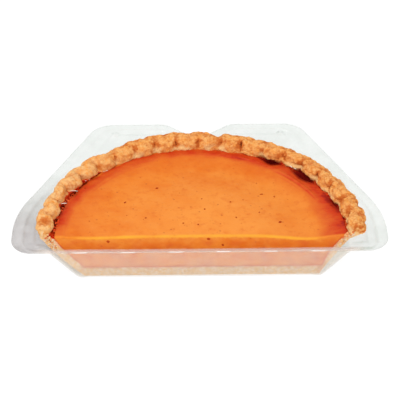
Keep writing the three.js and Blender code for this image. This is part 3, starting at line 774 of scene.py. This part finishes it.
RING_WIDTH, RIGHT_RING, LEFT_RING = 9.0, 10.0, 1.5  # of the redder ring next to the crust, in mm
RING_TAIL, LEFT_TAIL = 24.0, 14.0  # how far its faint edge reaches, and how much further on the left


def filling_marks(points):
    x, y, _ = np.moveaxis(points, -1, 0)
    radius, angle = np.hypot(x, y), np.arctan2(y, x)
    degrees = np.degrees(angle)
    right_end, left_end = smooth(45, 12, degrees), smooth(135, 165, degrees)
    back = (1 - left_end) * (1 - right_end)
    back_left = smooth(95, 108, degrees) * smooth(152, 140, degrees)
    width = RING_WIDTH + RIGHT_RING * right_end + LEFT_RING * left_end
    inwards = filling_edge(angle) - radius + (1.2 + 0.3 * right_end) * cloud(points, 9, 3)
    # Less red at the back left beside the crust: painted light that lifts the shade under the overhanging
    # rim.
    most = 1.05 - 0.25 * left_end - 0.28 * back - 0.2 * back_left * smooth(1.2, 3.5, inwards)
    red = np.clip(1.05 + 0.2 * back - inwards / width, 0, most)
    red = np.maximum(red, 0.24 * smooth(RING_TAIL + LEFT_TAIL * left_end, 6, inwards))
    red = (red + 0.5 * wrinkles(radius + 1.2, degrees)) * (1 - 0.6 * left_end * smooth(14, 5, y))
    gap = np.clip(gap_values(angle, 3) / 3, 0, 1)
    # Maroon at the filling's edge by the gaps: partly skin, partly painted shade.
    gap_skin_and_shade = (0.85 - 0.5 * left_end) * gap * smooth(2.2, 0.3, inwards)
    # A painted highlight along the cut's top edge, uneven along it.
    front = smooth(2.4, 0.6, y)
    along = 0.75 + 0.4 * cloud(x[..., None] * [1, 0, 0], 14, 3, 7.7)
    # Painted light beside the crust's lip at the back, lifting the shade under the rim.
    beside_lip = back * smooth(66, 80, degrees) * smooth(1.6, 0.3, inwards)
    bright = np.maximum(front * along * (1 - 0.8 * smooth(68, 88, np.abs(x))), 0.3 * beside_lip)
    # A painted pool of light in the front middle, over random lighter patches.
    middle = hump(x, 10, 78) * hump(y, 18, 50)
    light = np.clip(0.95 * middle + 0.28 * cloud(points, 16, 3) + 0.12 * cloud(points, 4, 2, 2.7), 0, 1)
    return np.stack([red * (1 - 0.6 * front), np.clip(bright, 0, 1), gap_skin_and_shade, light], -1)


def filling_cut_marks(points):
    """Marks of the filling's cut face: mottled, deeper orange low down and towards the right end."""
    x, _, height = np.moveaxis(points, -1, 0)
    grain = cloud(points, 5, 4, 4.4)
    deep = smooth(33, 27, height) * (1 - 0.9 * smooth(26, 22, height))
    deep = deep + 0.5 * smooth(45, 85, x) + 0.4 * smooth(-70, -88, x)
    low = smooth(24, 20, height)
    light = np.clip(0.55 - 0.4 * deep + (0.5 + 0.4 * low) * grain, 0, 1)
    beside_floor = smooth(CRUST_FLOOR + 3, CRUST_FLOOR + 0.5, height)
    red = 0.22 * deep - 0.1 + (0.25 + 0.2 * low) * cloud(points, 9, 3, 1.9) + 0.35 * beside_floor
    # A painted highlight along the top edge of the cut face.
    bright = 0.7 * smooth(1.8, 0, filling_level(x, 0 * x) - height) * (1 - 0.8 * smooth(68, 88, np.abs(x)))
    return np.stack([np.clip(red, 0, 0.5), bright, 0 * light, light], -1)


# ---- the tray ----

RAYS = 720
RAY_CENTRE = 45j
OUTLINE_STEP = 0.04
WELL_LEVELS = 9
WELL_EDGE_POINTS, WELL_BACK_POINTS = 12, 240
STEP_SLOPE = 1.1
FILLET_STEPS = 4
FILLETS = [0, 0.9, 1.4, 1.4, 0.9, 0.8, 0.8, 0.9, 1.6] + [0] * (WELL_LEVELS - 2) + [1.6, 0]
LIP_ROWS = 4  # rows of the tray's mesh that are its outer edge
STEP_ROW, STEP_ROWS = 11, 3.0  # rows at the step down to the shelf: the middle one and their spread
BEAD_ROW, BEAD_ROWS = 26, 5.0  # and those over the bead

# Outlines are lists of complex numbers, with X as the real part and Y as the imaginary part.


def flange_outline(scale, extra):
    """Outline of the flange, moved inwards on every edge by that edge's band times scale, plus extra."""
    x, y, rounding = np.array(FLANGE_CORNERS).T
    right = x + 1j * y
    rounding = [*rounding, *rounding[::-1]]
    bands = [BAND_SIDE, BAND_SLANT, *[BAND_BACK] * 5, BAND_SLANT, BAND_SIDE, BAND_FRONT]
    insets = np.array(bands) * scale + extra
    starts = np.concatenate([right, -right.conj()[::-1]])
    ways = np.roll(starts, -1) - starts
    ways /= abs(ways)
    starts += 1j * ways * insets
    points = []
    for i, out in enumerate(ways):
        into = ways[i - 1]
        meeting = starts[i - 1] + into * cross(starts[i] - starts[i - 1], out) / cross(into, out)
        points.append(rounded_corner(meeting, into, out, abs(rounding[i] - insets[i])))
    return np.concatenate(points)


def cross(a, b):
    return (a.conjugate() * b).imag


def rounded_corner(corner, into, out, radius):
    """The arc between two unit directions that meet at a corner."""
    turn = np.angle(out / into)
    start = corner - into * radius * math.tan(abs(turn) / 2)
    centre = start + 1j * into * math.copysign(radius, turn)
    steps = max(2, round(abs(turn) / OUTLINE_STEP))
    return centre + (start - centre) * np.exp(1j * turn * np.linspace(0, 1, steps + 1))


def well_outline(z):
    """Inside of the well at a height: half a disc whose two upright edges are rounded."""
    radius = WELL_BASE_RADIUS + WELL_FLARE * z - SHEET * math.sqrt(2)
    front = -FRONT_CLEARANCE - FRONT_DRAFT * min(1, z / SHELF)
    edge_y = front + WELL_EDGE_RADIUS
    edge_x = math.sqrt((radius - WELL_EDGE_RADIUS) ** 2 - edge_y**2)
    start = math.atan2(edge_y, edge_x)
    corner = np.linspace(-math.pi / 2, start, WELL_EDGE_POINTS)[:-1]
    right = edge_x + 1j * edge_y + WELL_EDGE_RADIUS * np.exp(1j * corner)
    back = radius * np.exp(1j * np.linspace(start, math.pi - start, WELL_BACK_POINTS))
    return np.concatenate([right, back, -right.conj()[::-1]])


def ray_lengths(outline, rays):
    """How far each ray from RAY_CENTRE goes before it crosses an outline."""
    spokes = outline - RAY_CENTRE
    bearing = np.angle(spokes) % (2 * np.pi)
    order = np.argsort(bearing)
    spokes, bearing = spokes[order], bearing[order]
    spokes = np.concatenate([spokes[-1:], spokes, spokes[:1]])
    bearing = np.concatenate([[bearing[-1] - 2 * np.pi], bearing, [bearing[0] + 2 * np.pi]])
    after = np.clip(np.searchsorted(bearing, rays), 1, len(bearing) - 1)
    side = spokes[after] - spokes[after - 1]
    return cross(spokes[after - 1], side) / cross(np.exp(1j * rays), side)


def tray_profile(rays):
    """Corners of the tray's upper face along each ray, from the lip inwards: lengths and heights."""
    well_heights = np.linspace(SHELF, SHEET, WELL_LEVELS)
    well = [ray_lengths(well_outline(height), rays) for height in well_heights]

    def inset(scale, extra):
        return ray_lengths(flange_outline(scale, extra), rays)

    edge, step = inset(0, 0), inset(1, 0)
    bead = [inset(1, BEAD_INSET + more) for more in (0, BEAD_SLOPE, BEAD_WIDTH - BEAD_SLOPE, BEAD_WIDTH)]
    crest = SHELF + BEAD_HEIGHT * smooth(0, 3, bead[3] - well[0])
    lengths = [edge, edge, step, step - STEP_SLOPE, *bead, *well, well[-1] * 0.5]
    heights = [FLANGE_TOP - LIP_DEPTH, FLANGE_TOP, FLANGE_TOP, SHELF, SHELF, crest, crest, SHELF]
    heights += [*well_heights, SHEET]
    lengths[2:8] = [np.maximum(length, well[0]) for length in lengths[2:8]]
    return np.array(lengths), np.array([height + 0 * rays for height in heights])


def rounded_profile(lengths, heights):
    """The profile, as lengths plus heights times 1j, with its corners rounded by FILLET_STEPS + 1 points."""
    corners = lengths + 1j * heights
    rows = [corners[0]]
    for before, here, after, fillet in zip(corners, corners[1:], corners[2:], FILLETS[1:]):
        if fillet == 0:
            rows.append(here)
            continue
        back, on = before - here, after - here
        cut = np.minimum(0.48 * np.minimum(abs(back), abs(on)), fillet)
        start = here + back / np.maximum(abs(back), 1e-9) * cut
        end = here + on / np.maximum(abs(on), 1e-9) * cut
        for share in np.linspace(0, 1, FILLET_STEPS + 1):
            rows.append(start * (1 - share) ** 2 + here * 2 * share * (1 - share) + end * share**2)
    rows.append(corners[-1])
    return np.array(rows)


HAZE = 0.14  # how much of what is behind it one face of the plastic hides
RIDGE_HAZE = 0.04  # what the step and the bead have more
# The left wing's extra haze, here and over its shelf, is painted shade, and MAUVE below colours it; the front
# wall's haze is partly a painted reflection of the pale floor; the lip's haze lets the painted highlights
# along the front lip show.
LEFT_SHADE_HAZE, LEFT_SHELF_SHADE_HAZE, WALL_HAZE, FRONT_HAZE_AND_REFLECTION, BAND_HAZE, LIP_HIGHLIGHT_HAZE = 0.2, 0.04, 0.1, 0.215, 0.28, 0.38
MINT, MAUVE = np.array([0.18, 0.28, 0.19]), np.array([0.20, 0.165, 0.16])
WHITISH, BAND_GREY = np.array([0.71, 0.625, 0.51]), np.array([0.55, 0.49, 0.48])
GLINT = np.array([0.84, 0.78, 0.73])
DASH_APART, DASH_LENGTH, FIRST_DASH = 31.1, 9.0, -78.2  # short glints along the front lip


def tray_marks(points, lip, ridge):
    """Haze of the plastic: whitish on the front wall, partly a painted reflection of the pale floor and a
    little darker towards the bottom; mauve and thicker on the left wing, painted shade; and mint elsewhere.
    Along the front lip it carries painted highlights, brighter in short dashes. lip is 1 on the flange's
    outer edge, and ridge is 1 on the step and the bead."""
    x, y, z = np.moveaxis(points, -1, 0)
    front = smooth(3.0, 0.5, y) * smooth(112, 98, np.abs(x))
    wall = smooth(60, 15, y) * smooth(SHELF - 0.5, SHELF - 3.5, z) * smooth(0.5, 3, z)
    left = smooth(-40, -112, x) * smooth(95, 15, y)
    low = smooth(FLANGE_TOP - 0.6, SHELF + 0.4, z)
    front_lip = lip * smooth(FLANGE_FRONT + 0.8, FLANGE_FRONT + 0.6, y) * smooth(92, 84, np.abs(x))
    band = front * smooth(FLANGE_TOP - 1.2, FLANGE_TOP - 0.6, z) * (1 - lip)
    # Short dashes of painted highlight along the front lip.
    from_dash = np.abs((x - FIRST_DASH + DASH_APART / 2) % DASH_APART - DASH_APART / 2)
    dash = front_lip * smooth(DASH_LENGTH / 2 + 1, DASH_LENGTH / 2 - 1, from_dash)
    alpha = (HAZE + LEFT_SHADE_HAZE * left + LEFT_SHELF_SHADE_HAZE * left * low) * (1 - 0.8 * lip)
    alpha = alpha + WALL_HAZE * wall * (1 - front)
    alpha = alpha + RIDGE_HAZE * ridge * smooth(70, 20, y) * (1 - 0.5 * left)
    alpha = toward(toward(alpha, FRONT_HAZE_AND_REFLECTION, front), BAND_HAZE, band)
    alpha = toward(alpha, LIP_HIGHLIGHT_HAZE * (0.4 + 0.9 * dash), front_lip)
    colour = toward(MINT, MAUVE, left[..., None])
    colour = toward(colour, WHITISH * (1 - 0.15 * smooth(12, 6, z[..., None])), front[..., None])
    colour = toward(colour, BAND_GREY, band[..., None])
    colour = toward(colour, GLINT, (front_lip * (0.35 + 0.65 * dash))[..., None])
    return np.concatenate([colour, alpha[..., None]], -1)


def make_tray(material):
    rays = np.linspace(0, 2 * np.pi, RAYS, endpoint=False)
    profile = rounded_profile(*tray_profile(rays))
    place = RAY_CENTRE + profile.real * np.exp(1j * rays)
    from_stud = np.hypot(np.abs(place.real) - STUD_X, place.imag - STUD_Y)
    stud = STUD_HEIGHT * smooth(STUD_RADIUS, STUD_TOP_RADIUS, from_stud)
    points = np.stack([place.real, place.imag, profile.imag + stud], -1)
    body = Body()
    row = np.arange(len(points))[:, None]
    on_lip = 1.0 * (row < LIP_ROWS)
    ridge = hump(row, STEP_ROW, STEP_ROWS) + hump(row, BEAD_ROW, BEAD_ROWS)
    index = body.add_points(points, tray_marks(points, on_lip, ridge))
    body.add_grid(index, closed=True)
    middle = np.array([RAY_CENTRE.real, RAY_CENTRE.imag, SHEET])
    centre = int(body.add_points(middle, tray_marks(middle, 0, 0)))
    body.faces += [[int(a), int(b), centre] for a, b in zip(index[-1], np.roll(index[-1], -1))]
    tray = body.make("tray_shell", material, sharp_above=60)
    thicken(tray, SHEET * MM)
    return tray


def thicken(piece, thickness):
    """Gives a sheet its thickness, downwards from the face that was drawn."""
    up = sum(face.normal.z * face.area for face in piece.data.polygons)
    solidify = piece.modifiers.new("thickness", "SOLIDIFY")
    solidify.thickness = thickness
    solidify.offset = -1 if up > 0 else 1
    solidify.use_even_offset = True
    bpy.context.view_layer.update()
    graph = bpy.context.evaluated_depsgraph_get()
    mesh = bpy.data.meshes.new_from_object(piece.evaluated_get(graph))
    piece.modifiers.clear()
    piece.data = mesh


# ---- spice specks ----

# The specks that stand out: x, y and size on the top, and x, z and size on the cut face.
TOP_SPECKS = (
    (-28.5, 52.4, 1.25), (41.8, 46.2, 1.15), (52.8, 15.6, 1.3), (-49.7, 37.0, 0.9), (-35.6, 19.3, 0.8),
    (-10.9, 13.3, 0.8), (-1.1, 11.8, 0.65), (1.5, 39.2, 0.7), (3.4, 27.9, 0.7), (20.7, 35.8, 0.75),
    (24.0, 18.9, 0.7), (50.4, 44.0, 0.7), (39.5, 24.8, 0.7), (-77.0, 51.3, 0.9),
)
CUT_SPECKS = ((-60.0, 30.3, 1.2), (5.4, 31.8, 1.1), (14.7, 26.6, 1.2))
FINE_SPECKS, SPECKS_WITHIN = 40, 88.0
FINE_SIZES = (0.2, 0.4)
FLATNESS = 0.12  # a speck's thickness as a share of its size
SPECK_RISE = 0.08  # how far a speck's middle stands out of the surface


def make_specks(material):
    random = np.random.default_rng(SEED)
    corners, faces = ball(1)
    body = Body()

    def speck(place, size, flat):
        stretch = random.uniform(0.6, 1.3, 3) * size
        stretch[flat] = FLATNESS * size
        spin = Quaternion((0, 0, 1) if flat == 2 else (0, 1, 0), random.uniform(0, math.pi))
        shape = corners * stretch * random.uniform(0.85, 1.15, (len(corners), 1))
        body.add_shape(shape @ np.array(spin.to_matrix()).T + place, faces)

    for x, y, size in TOP_SPECKS:
        speck([x, y, filling_level(x, y) + SPECK_RISE], size, 2)
    for x, z, size in CUT_SPECKS:
        speck([x, -SPECK_RISE, z], size, 1)
    for _ in range(FINE_SPECKS):
        radius = SPECKS_WITHIN * math.sqrt(random.uniform(0, 1))
        angle = random.uniform(0.03, math.pi - 0.03)
        x, y = radius * math.cos(angle), max(2.0, radius * math.sin(angle))
        speck([x, y, filling_level(x, y) + 0.5 * SPECK_RISE], random.uniform(*FINE_SIZES), 2)
    return body.make("spice_specks", material, sharp_above=180)


# ---- crumbs, and drips that carry painted highlights ----

# Strips of crumbs on the cut face: from and to as x and z, and half the strip's width.
CRUMB_STRIPS = (((98.3, 37.5), (92.6, 27.0), 2.2), ((-101.0, 37.0), (-94.6, 25.0), 2.4))
CRUMBS_A_STRIP, CRUMB_SIZES = 34, (0.45, 1.0)
CLINGING, CLINGING_SIZES = 46, (0.35, 0.85)  # bits of filling left on the crust at the left end
CLINGING_ANGLES, CLINGING_HEIGHTS = (148.0, 177.0), (33.8, 34.8)  # degrees and mm

# Pale drips of syrup between the crust and the filling, whose pale colour paints the glints of light on the
# wet
# edge there: both ends of each drip.
HIGHLIGHT_DRIPS = (
    ((-86.7, 45.5, 36.8), (-81.6, 47.8, 34.8)), ((-92.1, 32.5, 36.1), (-88.3, 34.6, 34.9)),
    ((-94.6, 18.0, 37.2), (-92.5, 23.9, 34.9)), ((-77.2, 57.9, 35.6), (-74.0, 60.2, 34.8)),
    ((-65.4, 68.5, 35.4), (-62.1, 70.3, 34.9)), ((60.6, 74.1, 35.8), (64.0, 71.3, 35.2)),
    ((64.3, 72.0, 34.9), (66.6, 69.6, 35.1)),
)
DRIP_WIDTH, DRIP_HEIGHT, DRIP_BEND = 0.45, 0.35, 0.1
DRIP_STEPS, DRIP_SIDES = 14, 10


def make_crumbs(material):
    random = np.random.default_rng(SEED)
    corners, faces = ball(2)
    body = Body()

    def crumb(place, sizes, widest, make_marks):
        stretch = random.uniform(*sizes) * random.uniform(0.7, widest, 3)
        points = place + corners * stretch * (1 + 0.25 * cloud(corners * 2 + place, 1.6, 2))[:, None]
        body.add_shape(points, faces, make_marks())

    def loose_marks():
        browning_and_shade = random.uniform(0, 1) ** 2
        return 0.3 * browning_and_shade, random.uniform(0.5, 1) * (1 - 0.8 * browning_and_shade), 0.6 * browning_and_shade, 0

    def clinging_marks():
        return 0, 0.15, random.uniform(0.8, 1.0), 0

    for (x0, z0), (x1, z1), half_width in CRUMB_STRIPS:
        for _ in range(CRUMBS_A_STRIP):
            share, across = random.uniform(0, 1), random.uniform(-half_width, half_width)
            place = [toward(x0, x1, share) + across, random.uniform(-0.3, 0.2), toward(z0, z1, share)]
            crumb(place, CRUMB_SIZES, 1.2, loose_marks)
    for _ in range(CLINGING):
        angle = math.radians(random.uniform(*CLINGING_ANGLES))
        radius = filling_edge(angle) + random.uniform(-0.4, 1.6)
        crumb(around(radius, angle, random.uniform(*CLINGING_HEIGHTS)), CLINGING_SIZES, 1.4, clinging_marks)
    return body.make("loose_crumbs", material)


def make_highlight_drips(material):
    body = Body()
    share = np.linspace(0, 1, DRIP_STEPS)[:, None, None]
    turn = np.linspace(0, 2 * np.pi, DRIP_SIDES, endpoint=False)[None, :, None]
    girth = np.sqrt(np.maximum(0.02, np.sin(np.pi * share)))
    for start, end in np.array(HIGHLIGHT_DRIPS):
        way = end - start
        aside = np.array([-way[1], way[0], 0]) / np.hypot(way[0], way[1])
        over = np.cross(way, aside) / np.linalg.norm(way)
        points = start + way * share + aside * DRIP_BEND * np.linalg.norm(way) * np.sin(np.pi * share)
        points = points + girth * (DRIP_WIDTH * np.cos(turn) * aside + DRIP_HEIGHT * np.sin(turn) * over)
        index = body.add_points(points)
        body.add_grid(index, closed=True)
        body.faces += [index[0][::-1].tolist(), index[-1].tolist()]
    return body.make("syrup_highlights", material)


# ---- camera, light and floor ----

CAMERA_AIM = Vector((0.0005, CUT_Y + 0.046, 0.0277))
CAMERA_DISTANCE, CAMERA_LENS = 1.1, 146.7
CAMERA_ELEVATION, CAMERA_AZIMUTH, CAMERA_ROLL = math.radians(38.4), math.radians(0.75), -0.001
LIGHT_AIM = Vector((0, 0, 0.02))
FLOOR = 4.0  # half its width, in metres


def make_camera():
    data = bpy.data.cameras.new("camera")
    data.lens = CAMERA_LENS
    data.sensor_width = 36
    data.clip_start = 0.01
    camera = add_object("camera", data)
    forward = Vector((0, math.cos(CAMERA_ELEVATION), -math.sin(CAMERA_ELEVATION)))
    forward.rotate(Quaternion((0, 0, 1), -CAMERA_AZIMUTH))
    camera.location = CAMERA_AIM - forward * CAMERA_DISTANCE
    camera.rotation_mode = "QUATERNION"
    camera.rotation_quaternion = forward.to_track_quat("-Z", "Y") @ Quaternion((0, 0, 1), CAMERA_ROLL)
    bpy.context.scene.camera = camera


def make_light(name, place, size, power):
    data = bpy.data.lights.new(name, "AREA")
    data.shape = "DISK"
    data.size = size
    data.energy = power
    light = add_object(name, data)
    light.location = place
    light.rotation_euler = (LIGHT_AIM - Vector(place)).to_track_quat("-Z", "Y").to_euler()


def make_stage():
    world = bpy.data.worlds.new("studio")
    world.use_nodes = True
    background = world.node_tree.nodes["Background"]
    background.inputs["Color"].default_value = (1, 1, 1, 1)
    background.inputs["Strength"].default_value = 0.95
    bpy.context.scene.world = world
    mesh = bpy.data.meshes.new("floor")
    corners = [(-FLOOR, -FLOOR, 0), (FLOOR, -FLOOR, 0), (FLOOR, FLOOR, 0), (-FLOOR, FLOOR, 0)]
    mesh.from_pydata(corners, [], [(0, 1, 2, 3)])
    shader = Shader("pale_floor", Base_Color=(0.14, 0.14, 0.14, 1), Roughness=0.9)
    mesh.materials.append(shader.finish(Emission_Color=(1, 1, 1, 1), Emission_Strength=0.9))
    add_object("floor", mesh)
    make_light("key", (-0.35, -0.2, 1.0), 0.5, 4.5)
    make_light("front", (0.1, -1.1, 0.45), 0.8, 3.5)
    bpy.context.scene.view_settings.view_transform = "Standard"
    bpy.context.scene.cycles.transparent_max_bounces = 24


make_camera()
make_stage()

crust = make_crust(pastry_material())
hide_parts("crust")
filling = make_filling(custard_material())
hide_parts("pumpkin_filling")
tray = make_tray(plastic_material())
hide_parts("clear_tray")
tray.visible_shadow = False
spice = Shader("ground_spice", Base_Color=seen(196, 74, 24), Roughness=0.9, Specular_IOR_Level=0.05)
specks = make_specks(spice.material)
crumbs = make_crumbs(crust.data.materials[0])
# The drips' pale colour is a painted highlight.
highlight_drips = make_highlight_drips(Shader("syrup_highlights", Base_Color=seen(255, 226, 208), Roughness=0.25).material)
for piece in (crust, filling, tray, specks, crumbs, highlight_drips):
    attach(piece, "root")
